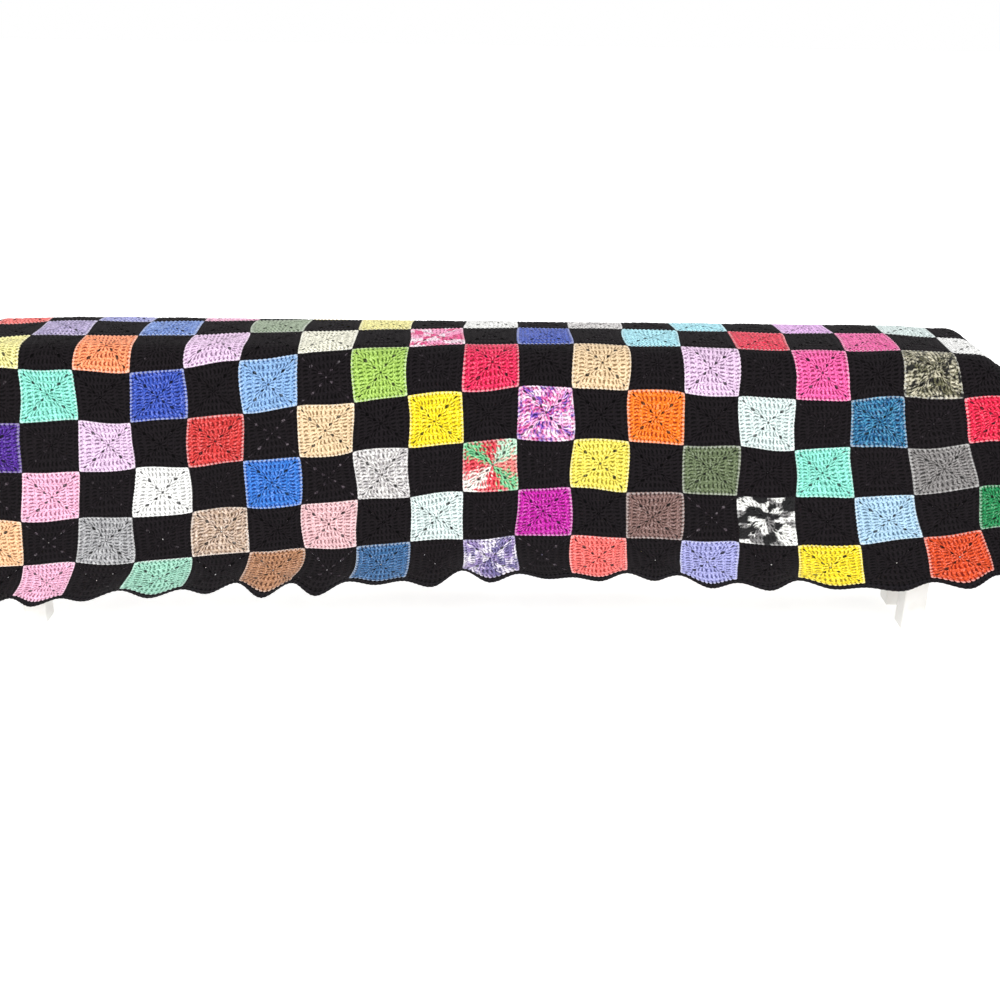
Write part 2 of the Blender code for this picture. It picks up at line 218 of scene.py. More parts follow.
# ---- Bench pad -------------------------------------------------------------------------------
# A foam slab in the same cloth. Its upper edges are softly rounded and its top is a little
# crowned, which is what carries the blanket. A welt closes the seam round its lower edge.
PAD_ROUND = 0.070
PAD_CROWN = 0.0144      # how far the middle of the top stands over its edge
CROWN_FADE = 0.150      # the crown runs out over this length at both ends
CROWN_INSET = 0.0445    # and starts this far in from them
RIM_LIFT = 0.0024       # the rim stands this far over the foot of the crown

low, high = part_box("bench_pad")
rim = high[2] - PAD_CROWN + RIM_LIFT
pad = start_box("pad_cover", low, (high[0], high[1], rim))
select_edges(pad, lambda a, b: min(a.z, b.z) > rim - 1e-4 or abs(a.z - b.z) > 0.01)
bpy.ops.mesh.bevel(offset=PAD_ROUND, segments=8)
middle, half_long, top_half = (low[0] + high[0]) / 2, (high[0] - low[0]) / 2, high[1] - PAD_ROUND
slice_across(0, [middle + (half_long - PAD_ROUND) * (k / 12 - 1) for k in range(1, 24)])
slice_across(1, [top_half * (k / 4 - 1) for k in range(1, 8)])
bpy.ops.object.mode_set(mode="OBJECT")
for vert in pad.data.vertices:
    if vert.co.z > rim - 1e-4:
        across = 1 - min(abs(vert.co.y) / top_half, 1.0) ** 2
        along = min(max((half_long - CROWN_INSET - abs(vert.co.x - middle)) / CROWN_FADE, 0.0), 1.0)
        vert.co.z += (high[2] - rim) * across * along * along * (3 - 2 * along)
leave(pad, upholstery)
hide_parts("bench_pad")
pad_welt = welt_round("pad_welt", low, high, PAD_ROUND, low[2] + 0.004)
leave(pad_welt, upholstery)

# ---- Blanket: rows of granny squares ---------------------------------------------------------
# 276 squares, each worked outwards from a starting ring in three rounds of double crochet with
# chain corners and one edge round, then joined edge to edge. Bright yarns alternate with black.
SQUARE = 0.100
COLUMNS = 23
ROWS = 12
HALF_U = COLUMNS * SQUARE / 2
HALF_V = ROWS * SQUARE / 2

# How the cloth lies. It rests on the pad, turns over its edges and hangs.
BENCH_LENGTH, BENCH_DEPTH, SEAT_HEIGHT = 1.915, 0.260, 0.575
LAID_OFF = 0.025        # the bench's middle lies this far to the left of the blanket's
CLOTH_MIDDLE = SEAT_HEIGHT + 0.0045
CLOTH_CROWN = 0.010
SIDE_GAP = 0.0055
FOLD_ROUND = 0.050
HALF_LONG = BENCH_LENGTH / 2 + SIDE_GAP - FOLD_ROUND
HALF_DEEP = BENCH_DEPTH / 2 + SIDE_GAP - FOLD_ROUND
ARC = FOLD_ROUND * math.pi / 2
SLIDE = (  # place along the bench, how far the blanket is slid towards the back there
    (-1.17, -0.046), (-0.85, -0.044), (-0.65, -0.049), (-0.45, -0.026), (-0.25, 0.000),
    (-0.05, 0.023), (0.15, 0.032), (0.35, 0.023), (0.55, 0.012), (0.75, 0.017), (1.17, 0.029),
)
CORNER_CONE = (  # cloth angle round the corner, outwards, away, share of lean
    (-48.0, -48.0, 0.0, 0.0), (-35.0, -34.0, 0.0, 0.25), (-20.0, -16.5, 0.0, 0.6),
    (-8.0, -3.0, 0.0, 0.9), (0.0, 5.0, 0.5, 1.0), (10.0, 14.0, 4.0, 1.0), (20.0, 23.0, 8.0, 1.0),
    (30.0, 32.0, 8.0, 0.9), (40.0, 38.5, 3.0, 0.7), (50.0, 39.0, -5.0, 0.5),
    (60.0, 33.0, -9.0, 0.3), (70.0, 24.0, -10.5, 0.15), (80.0, 14.5, -10.5, 0.0),
    (89.0, 6.0, -9.5, 0.0), (96.0, 2.0, -10.0, 0.0), (102.0, 0.0, -12.5, 0.0),
    (107.0, 0.0, -17.0, 0.0), (112.0, 0.0, -22.0, 0.0), (117.0, 0.0, -27.0, 0.0),
)
CORNER_LEAN = {(1, -1): 5.0, (-1, -1): 4.0, (1, 1): 1.0, (-1, 1): 3.0}  # end, side: degrees
FRONT_SWELLS = (  # place along the bench, half width, depth at the hem
    (-0.92, 0.10, 0.012), (-0.66, 0.11, 0.014), (-0.33, 0.13, 0.010), (0.02, 0.10, 0.007),
    (0.30, 0.12, 0.011), (0.57, 0.10, 0.008), (0.83, 0.12, 0.014),
)
BACK_SWELLS = (
    (-0.84, 0.13, 0.016), (-0.48, 0.11, 0.010), (-0.14, 0.14, 0.013), (0.24, 0.11, 0.009),
    (0.60, 0.14, 0.017), (0.90, 0.10, 0.010),
)
BELLY = 0.010
HEM_REACH, HEM_TUCK, TUCK_FADE = 0.125, 0.040, 0.35
HEM_PUFF, HEM_DIP, HEM_RISE = 0.010, 0.0055, 0.008
HEM_DROP, FLAP_SPREAD = 0.100, 0.080
# The front panel is pulled sideways and up a little, more so towards its hem, and its last row
# of squares leans. The tables give that at the hem, and how each hem bows at its joins and at
# the middles of its squares: below 0 drawn in, above 0 standing out and hanging lower.
FRONT_DRAW = (  # place, panel along, panel up, last row along, share of the turning in
    (-1.15, 0.041, -0.001, -0.020, 1.0), (-0.90, 0.040, 0.020, -0.033, 1.0),
    (-0.70, -0.007, 0.048, -0.034, 1.1), (-0.50, -0.008, 0.037, -0.030, 1.1),
    (-0.30, 0.003, 0.023, -0.034, 1.0), (-0.10, 0.002, 0.013, -0.008, 1.0),
    (0.10, 0.003, 0.014, 0.006, 1.0), (0.40, 0.025, 0.020, 0.004, 0.9),
    (0.60, 0.044, 0.034, 0.000, 0.7), (0.70, 0.049, 0.049, 0.000, 0.2),
    (0.80, 0.032, 0.059, 0.010, -0.15), (1.00, 0.016, 0.061, 0.000, -0.1),
    (1.15, 0.000, 0.056, 0.000, 0.2),
)
LONG_JOINS = (0.0, -0.6, -0.9, -0.3, 0.1, -1.8, -1.8, -1.7, -1.3, -0.5, 0.0, -1.1, 0.0, 0.7, -0.6,
              -1.0, -0.2, -1.6, -0.1, -0.7, -0.2, -0.9, -0.5, 0.0)
LONG_MIDDLES = (0.6, 0.8, 0.9, 1.4, 0.3, -0.4, -0.3, 1.0, 1.3, 0.6, 1.4, 1.2, 0.8, 1.4, 0.4, 0.9,
                0.5, 0.1, 0.8, 0.9, 0.6, 0.9, 0.5)
END_JOINS = (0.0, -0.8, -0.3, -1.2, -0.5, 0.1, -1.0, -0.6, 0.2, -1.1, -0.4, -0.7, 0.0)
END_MIDDLES = (0.4, 0.9, 0.5, 1.2, 0.3, 0.8, 1.1, 0.6, 1.0, 0.4, 0.8, 0.5)


def through(table, column, at):
    """Smooth curve through one column of a table, read at the places given."""
    places = np.array([row[0] for row in table])
    values = np.array([row[column] for row in table])
    slopes = np.gradient(values, places)
    at = np.clip(at, places[0], places[-1])
    k = np.clip(np.searchsorted(places, at) - 1, 0, len(places) - 2)
    step = places[k + 1] - places[k]
    t = (at - places[k]) / step
    return (
        values[k] * (1 + 2 * t) * (1 - t) ** 2 + values[k + 1] * t * t * (3 - 2 * t)
        + step * (slopes[k] * t * (1 - t) ** 2 - slopes[k + 1] * t * t * (1 - t))
    )


def soft_step(t):
    t = np.clip(t, 0.0, 1.0)
    return t * t * (3 - 2 * t)


def hang_direction(outwards, away):
    """Unit vector at those angles (degrees) from straight down."""
    lean = np.radians(np.hypot(outwards, away))
    share = np.sinc(lean / math.pi)
    return np.stack([np.radians(outwards) * share, np.radians(away) * share, -np.cos(lean)], -1)


def bend_over(length):
    """Sideways and downward travel of cloth that turns over a rounded edge."""
    turn = np.clip(length / FOLD_ROUND, 0.0, math.pi / 2)
    return FOLD_ROUND * np.sin(turn), FOLD_ROUND * (1 - np.cos(turn)) + np.maximum(length - ARC, 0.0)


def draped(u, v):
    """Middle of the cloth for points of the flat blanket, before swells and scallops."""
    p, q = u + LAID_OFF, v + through(SLIDE, 1, u)
    past_end, past_side = np.abs(p) - HALF_LONG, np.abs(q) - HALF_DEEP
    to_end, to_side = np.where(p < 0, -1.0, 1.0), np.where(q < 0, -1.0, 1.0)
    reach = np.hypot(np.maximum(past_end, 0), np.maximum(past_side, 0))
    out, down = bend_over(reach)
    share_end = np.divide(np.maximum(past_end, 0), reach, out=np.zeros_like(reach), where=reach > 0)
    share_side = np.divide(np.maximum(past_side, 0), reach, out=np.zeros_like(reach), where=reach > 0)
    ray = np.hypot(past_end, past_side)
    angle = np.degrees(np.arctan2(past_end, past_side))
    lean = np.zeros_like(u)
    for (end, side), degrees in CORNER_LEAN.items():
        lean[(to_end == end) & (to_side == side)] = degrees
    outwards = through(CORNER_CONE, 1, angle) + lean * through(CORNER_CONE, 3, angle)
    cone_ray = hang_direction(outwards, through(CORNER_CONE, 2, angle))
    plain = hang_direction(np.minimum(angle, 0.0), -np.maximum(angle - 90.0, 0.0))
    near = (angle > CORNER_CONE[0][0]) & (angle < CORNER_CONE[-1][0])
    cone = (near * ray * soft_step(ray / (2 * ARC)))[..., None] * (cone_ray - plain)
    crown = 1 - np.clip(q / (BENCH_DEPTH / 2), -1, 1) ** 2
    crown = CLOTH_CROWN * crown * soft_step((HALF_LONG - np.abs(p)) / CROWN_FADE)
    x = to_end * (np.minimum(np.abs(p), HALF_LONG) + share_end * out + cone[..., 0])
    y = to_side * (np.minimum(np.abs(q), HALF_DEEP) + share_side * out + cone[..., 1])
    return np.stack([x - LAID_OFF, y, CLOTH_MIDDLE + crown - down + cone[..., 2]], -1)


def swell(u, table):
    total = np.zeros_like(u)
    for place, half_width, depth in table:
        total += depth * np.exp(-(((u - place) / half_width) ** 2))
    return total


def hem_table(joins, middles):
    """Places along a hem and how it bows there, from its joins and its squares' middles."""
    half = len(middles) / 2
    rows = [((k - half) * SQUARE, value) for k, value in enumerate(joins)]
    return sorted(rows + [((k + 0.5 - half) * SQUARE, value) for k, value in enumerate(middles)])


LONG_HEM = hem_table(LONG_JOINS, LONG_MIDDLES)
END_HEM = hem_table(END_JOINS, END_MIDDLES)


def frame_of(shape, u, v, step=0.003):
    """Unit vectors along, across and out of a surface, for points of the flat blanket."""
    along = shape(u + step, v) - shape(u - step, v)
    across = shape(u, v + step) - shape(u, v - step)
    out = np.cross(along, across)
    return [vector / np.linalg.norm(vector, axis=-1)[..., None] for vector in (along, across, out)]


def hung(u, v):
    """Middle of the hung cloth, with its swells and the scallops of its hems."""
    along, across, out = frame_of(draped, u, v)
    q = v + through(SLIDE, 1, u)
    drop = np.maximum(np.abs(q) - HALF_DEEP - ARC, 0.0)
    share = np.clip(drop / (HALF_V - HALF_DEEP - ARC), 0.0, 1.0)
    swells = np.where(q < 0, swell(u, FRONT_SWELLS), swell(u, BACK_SWELLS))
    stand_out = swells * soft_step(share) + BELLY * np.sin(math.pi * share ** 0.8)
    hem_side = np.clip(1 - (HALF_V - np.abs(v)) / HEM_REACH, 0.0, 1.1) ** 2
    hem_side = hem_side * soft_step(drop / HEM_DROP)
    hem_end = np.clip(1 - (HALF_U - np.abs(u)) / HEM_REACH, 0.0, 1.1) ** 2
    hem_end = hem_end * soft_step((np.abs(q) - HALF_DEEP) / FLAP_SPREAD)
    bow_u = through(LONG_HEM, 1, np.where(q < 0, u, -u))
    bow_v = through(END_HEM, 1, np.where(u < 0, v, -v))
    front = (q < 0) * share
    turn_in = np.where(q < 0, through(FRONT_DRAW, 4, u), 1.0)
    tucked = turn_in * hem_side * soft_step((HALF_U - np.abs(u)) / TUCK_FADE)
    stand_out = stand_out + HEM_PUFF * (1 + bow_u) * hem_side - HEM_TUCK * tucked
    stand_out = stand_out + HEM_PUFF * (1 + bow_v) * hem_end
    longer_side = np.sign(v) * (HEM_DIP * bow_u * hem_side - HEM_RISE * tucked)
    longer_side = longer_side + through(FRONT_DRAW, 2, u) * front
    longer_end = np.sign(u) * HEM_DIP * bow_v * hem_end + through(FRONT_DRAW, 1, u) * front
    longer_end = longer_end + through(FRONT_DRAW, 3, u) * hem_side * (q < 0)
    return (draped(u, v) + out * stand_out[..., None] + across * longer_side[..., None]
            + along * longer_end[..., None])


# The hung surface is worked out once on a fine net and read between its points.
NET = 0.005
net_u = np.arange(-HALF_U - 0.02, HALF_U + 0.0201, NET)
net_v = np.arange(-HALF_V - 0.02, HALF_V + 0.0201, NET)
net_places = hung(*np.meshgrid(net_u, net_v, indexing="ij"))
net_outs = frame_of(hung, *np.meshgrid(net_u, net_v, indexing="ij"))[2]


def laid(u, v, w):
    """Where points of the flat blanket lie: u along, v across, w up from its middle."""
    a, b = (u - net_u[0]) / NET, (v - net_v[0]) / NET
    i, j = np.floor(a).astype(int), np.floor(b).astype(int)
    a, b = (a - i)[..., None], (b - j)[..., None]
    place, out = [
        (net[i, j] * (1 - a) + net[i + 1, j] * a) * (1 - b)
        + (net[i, j + 1] * (1 - a) + net[i + 1, j + 1] * a) * b
        for net in (net_places, net_outs)
    ]
    return place + out * w[..., None]


# One square, flat and in its own middle: four rounds of stitches, four like sides to a round.
# A round's corners are open. Strands cross behind the openings and behind the starting ring.
ROUNDS = (  # half size inside and outside, stitches to a side, half the corner's opening
    (0.0029, 0.0150, 3, 0.0044), (0.0150, 0.0290, 7, 0.0047), (0.0290, 0.0435, 11, 0.0025),
    (0.0435, 0.0500, 13, 0.0),
)
# The relief of one stitch: a post that leans to and fro as it rises, then the loops of its top.
POST = (  # share of the round; height beside, on and on the post; lean; share of the corner's opening
    (-0.08, -0.0006, -0.0004, -0.0004, 0.0000, 0.0), (0.14, -0.0010, 0.0001, 0.0003, 0.0006, 0.0),
    (0.42, -0.0011, 0.0006, 0.0007, 0.0009, 0.0), (0.66, -0.0006, 0.0008, 0.0006, -0.0006, 0.6),
    (0.86, 0.0010, 0.0004, 0.0012, -0.0008, 1.0), (1.06, -0.0008, -0.0010, -0.0008, 0.0000, 0.0),
)
EDGE_LOOP = (  # the same for the last round, whose stitches are two steps wide
    (-0.14, -0.0008, -0.0006, 0.0000, 0.0), (0.34, -0.0006, 0.0009, 0.0004, 0.0),
    (0.74, -0.0007, 0.0011, -0.0004, 0.0), (1.00, -0.0006, -0.0002, 0.0000, 0.0),
)
CROSSING = (  # share of the round, share of the opening's width: a strand behind an opening, painted dark as shade
    (0.42, 0.7), (0.76, 1.1), (1.06, 0.9),
)
RING_CROSSING = ((-0.20, 0.26), (0.42, 0.7))    # the same behind the starting ring
# how far the strands lie behind the sheet, and how dark their colour is painted: painted shade
CROSSING_DEPTH, CROSSING_PAINTED_SHADE = 0.0013, 0.16
ROUND_OFF = 0.020       # rounds smaller than this are more ring than square
RING_GROWTH = 1.1       # how much wider a ring is than the square that it stands for
FAN = 0.85              # posts stand square to the side and fan at its corners; more fans less
OPENING_REACH = 7       # the higher, the closer an opening keeps to its corner
STITCH_END = 0.3        # the share of a side's first and last stitch that its corner takes
WANDER = np.array([[0.00030], [0.00030], [0.00005]])    # how far a point strays, each way and up
SHIFT = 0.0020          # how far a square's middle strays
TWIST = (-0.04, 0.11)   # how far its middle is turned, in radians: least and most
PUFF = (-0.0002, 0.0014)        # how far its middle stands up
BOW = (-0.0010, 0.0018)         # how far the sides of a bright square bow out
CORNER_PULL = {True: -0.0016, False: 0.0015}    # how far the corners reach, bright or black
BEAD, LIFT = 0.0011, 0.0003     # how far the last loops of a bright square stand out and up
LOOP_TOP = -0.0004      # the last loops lie above this height, the dips between them below it
PAINTED_GLINTS = (0.4, 0.6, 1.0, 4.0, 12.0)     # painted light on the strands behind a black square's holes, for the pale pad seen through; below 1 painted shade
TONE_SPREAD = 0.05      # how much the stitches differ in tone
BLOTCHES = 60           # to a square of blotched yarn
WEDGE_STRAY = 0.28      # how raggedly one wedge of colour meets the next, in wedges
CHANGE_STRAY = (1.1, 0.4)       # the same in stitches, for short runs of a colour and for long
LONG_RUN = 4


def square_pattern():
    """Points with their painted light, faces, each point's stitch, and the faces' stitch coordinates.
    """
    points, faces, stitches, coordinates = [], [], [], []

    def add_point(x, y, height, light, side):
        half = max(abs(x), abs(y))
        ringed = min(max(1 - half / ROUND_OFF, 0.0), 1.0)
        scale = 1 + (RING_GROWTH * half / math.hypot(x, y) - 1) * ringed
        x, y = x * scale, y * scale
        for _ in range(side):
            x, y = -y, x
        points.append((x, y, height, light))

    done = 0
    for number, (inside, outside, to_side, opening) in enumerate(ROUNDS):
        profile = POST if number < len(ROUNDS) - 1 else EDGE_LOOP
        steps = len(profile[0]) - 3
        count = to_side * steps
        grows = outside - inside
        straight = FAN * inside / grows
        for side in range(4):
            first = len(points)
            for share, *heights, lean, gap in profile:
                half = inside + grows * share
                chain = heights[1] / 2          # a chain, not a dip, runs up each corner
                for k in range(count + 1):
                    t = 2 * k / count - 1
                    x = outside * t - (outside - half) * t * abs(t) ** straight
                    x += lean * (0 < k < count) - gap * opening * t * abs(t) ** OPENING_REACH
                    add_point(x, half, chain if k in (0, count) else heights[k % steps], 1.0, side)
            for row in range(len(profile) - 1):
                for k in range(count):
                    a = first + row * (count + 1) + k
                    faces.append((a, a + 1, a + count + 2, a + count + 1))
                    stitches.append(done + side * to_side + k // steps)
                    t0, t1 = max(profile[row][0], 0.0), min(profile[row + 1][0], 0.99)
                    s0, s1 = max(k / steps, STITCH_END), min((k + 1) / steps, to_side - STITCH_END)
                    coordinates.append([(s0, number + t0), (s1, number + t0), (s1, number + t1),
                                        (s0, number + t1)])
            for strand in (CROSSING, RING_CROSSING)[:(opening > 0) + (number == 0)]:
                first = len(points)
                for share, width in strand:
                    half = inside + grows * share
                    for reach in (half - opening * width, half + opening * width):
                        # each strand point carries the painted shade in place of full light
                        add_point(reach, 2 * half - reach, -CROSSING_DEPTH, CROSSING_PAINTED_SHADE, side)
                for row in range(len(strand) - 1):
                    a = first + 2 * row
                    faces.append((a, a + 1, a + 3, a + 2))
                    stitches.append(done + side * to_side)
                    coordinates.append([(0.5, number + 0.9)] * 4)
        done += 4 * to_side
    unique, back = np.unique(np.round(points, 7), axis=0, return_inverse=True)
    faces = back.reshape(-1)[np.array(faces)][:, ::-1]
    stitch_of = np.zeros(len(unique))
    stitch_of[faces.ravel()] = np.repeat(stitches, 4)
    return unique, faces, stitch_of, np.array(coordinates)[:, ::-1], done


pattern_points, pattern_faces, pattern_stitches, pattern_coordinates, stitch_count = square_pattern()

YARNS = {  # name: colours in the order of the ball, stitches that each lasts
    # 0: plied together; -1: each round meets the same colours at the same places; -2: in blotches
    "black": (((26, 22, 25),), 1),
    "pale yellow": (((240, 232, 156),), 1),
    "yellow": (((244, 220, 16),), 1),
    "lemon": (((238, 222, 90),), 1),
    "peach": (((248, 152, 102),), 1),
    "light orange": (((242, 192, 146),), 1),
    "orange": (((244, 122, 14),), 1),
    "blood orange": (((216, 74, 24),), 1),
    "coral": (((242, 110, 104),), 1),
    "red": (((206, 54, 52),), 1),
    "crimson": (((228, 24, 70),), 1),
    "raspberry": (((226, 34, 86),), 1),
    "hot pink": (((234, 92, 162),), 1),
    "pink": (((240, 180, 208),), 1),
    "light pink": (((228, 184, 188),), 1),
    "orchid": (((226, 178, 232),), 1),
    "lavender": (((220, 194, 226),), 1),
    "lilac": (((226, 196, 226),), 1),
    "magenta": (((190, 16, 160),), 1),
    "purple": (((72, 26, 140),), 1),
    "periwinkle": (((160, 162, 216),), 1),
    "royal blue": (((50, 80, 180),), 1),
    "blue": (((44, 114, 202),), 1),
    "sky": (((134, 174, 220),), 1),
    "ice": (((170, 204, 228),), 1),
    "steel": (((48, 100, 150),), 1),
    "teal": (((10, 92, 140), (14, 82, 126), (70, 148, 186)), 0),
    "pale aqua": (((168, 226, 238),), 1),
    "white mint": (((216, 230, 228),), 1),
    "mint": (((138, 222, 204),), 1),
    "soft green": (((150, 204, 182),), 1),
    "green": (((14, 132, 74),), 1),
    "lime": (((164, 200, 90),), 1),
    "olive": (((100, 114, 80),), 1),
    "sage": (((150, 166, 140),), 1),
    "beige": (((230, 202, 162),), 1),
    "tan": (((172, 122, 86),), 1),
    "brown": (((126, 96, 90),), 1),
    "grey": (((130, 127, 126),), 1),
    "white": (((240, 240, 238),), 1),
    "cream": (((236, 234, 216),), 1),
    "grey marl": (((146, 146, 148), (178, 178, 180)), 0),
    "pearl marl": (((166, 162, 164), (236, 234, 232), (204, 200, 198)), 1),
    "oat marl": (((196, 170, 146), (156, 128, 108), (220, 200, 184)), 0),
    "lavender marl": (((196, 180, 220), (150, 140, 180)), 0),
    "blue marl": (((70, 110, 190), (130, 160, 220)), 0),
    "thistle": (((150, 130, 184), (232, 226, 238), (106, 96, 150)), 3),
    "moss tweed": (((98, 96, 68), (30, 30, 26), (196, 190, 166)), 2),
    "berry mix": (((226, 62, 132), (252, 228, 238), (246, 156, 196)), 4),
    "violet mix": (((112, 70, 176), (226, 92, 164), (246, 224, 242), (240, 160, 208)), 2),
    "holly mix": (((214, 58, 74), (112, 196, 140), (222, 70, 84), (244, 240, 232), (226, 60, 78),
                   (120, 200, 146), (236, 128, 124), (188, 226, 200)), -1),
    "zebra": (((240, 240, 236), (22, 21, 23), (242, 241, 238), (118, 116, 116), (26, 25, 27)), -2),
}
# The bright squares of each row from the left, from the front hem to the back.
ROW_YARNS = (
    ("lemon", "pink", "soft green", "tan", "steel", "thistle", "coral", "periwinkle", "yellow",
     "blood orange", "sky"),
    ("royal blue", "light orange", "grey marl", "oat marl", "light pink", "white mint", "magenta",
     "brown", "zebra", "ice", "green", "orchid"),
    ("red", "pink", "white", "blue", "pearl marl", "holly mix", "lemon", "olive", "mint", "grey",
     "peach"),
    ("mint", "purple", "lilac", "red", "beige", "yellow", "violet mix", "orange", "white mint",
     "teal", "crimson", "pale yellow"),
    ("orange", "mint", "royal blue", "sky", "lime", "raspberry", "beige", "lilac", "hot pink",
     "moss tweed", "teal"),
    ("steel", "pale yellow", "peach", "lilac", "cream", "berry mix", "royal blue",
     "pale aqua", "crimson", "hot pink", "white", "tan"),
    ("hot pink", "lavender marl", "blue marl", "sage", "pale yellow", "white", "pearl marl",
     "pale aqua", "orchid", "white mint", "zebra"),
    ("lime", "coral", "periwinkle", "pink", "yellow", "violet mix", "oat marl", "green", "beige",
     "blue", "lavender", "magenta"),
    ("grey marl", "orange", "white", "teal", "holly mix", "light pink", "olive", "purple", "mint",
     "peach", "ice"),
    ("crimson", "soft green", "lemon", "brown", "sky", "raspberry", "pearl marl", "blood orange",
     "steel", "orchid", "moss tweed", "light orange"),
    ("periwinkle", "beige", "magenta", "pale aqua", "yellow", "grey", "berry mix", "royal blue",
     "lime", "white mint", "coral"),
    ("tan", "purple", "peach", "thistle", "green", "pink", "blue", "pale yellow", "red", "sage",
     "hot pink", "lavender"),
)


def linear(colour):
    """A colour named by its screen values, as the shader takes it."""
    share = np.array(colour, dtype=float) / 255
    return np.where(share <= 0.04045, share / 12.92, ((share + 0.055) / 1.055) ** 2.4)


def worked_in(yarn, random):
    """The colour at each point of one square. A mixed yarn changes as the stitches use it up."""
    colours, lasts = YARNS[yarn]
    if len(colours) == 1:
        picks = np.zeros(len(pattern_points), dtype=int)
    elif lasts == 0:
        picks = random.integers(len(colours), size=len(pattern_points))
    elif lasts == -2:
        blotches = random.uniform(-SQUARE / 2, SQUARE / 2, (BLOTCHES, 2))
        apart = pattern_points[:, :2, None] - blotches.T
        picks = np.hypot(apart[:, 0], apart[:, 1]).argmin(axis=1) % len(colours)
    elif lasts < 0:
        turned = np.arctan2(pattern_points[:, 1], pattern_points[:, 0]) / (2 * math.pi) * len(colours)
        turned = turned + random.normal(0.0, WEDGE_STRAY, len(turned))
        picks = np.round(turned).astype(int) % len(colours)
    else:
        order, colour = [], random.integers(len(colours))
        while len(order) < stitch_count:
            order += [colour % len(colours)] * max(1, int(lasts * random.uniform(0.6, 1.6)))
            colour += 1
        stray = CHANGE_STRAY[lasts >= LONG_RUN]
        used = pattern_stitches + random.normal(0.0, stray, len(pattern_points))
        picks = np.array(order)[np.clip(np.round(used).astype(int), 0, stitch_count - 1)]
    tones = random.normal(1.0, TONE_SPREAD, stitch_count)[pattern_stitches.astype(int)]
    # The strands behind the openings carry painted light: painted shade on bright yarn, and on black
    # yarn the pale pad seen through them, painted lighter on some squares and darker on others.
    behind = pattern_points[:, 3] < 1
    if yarn == "black":
        painted_glint = random.choice(PAINTED_GLINTS) * random.uniform(0.3, 1.0, len(tones))
        tones = np.where(behind, painted_glint, tones)
    else:
        tones = tones * pattern_points[:, 3]
    return linear(colours)[picks] * tones[:, None]


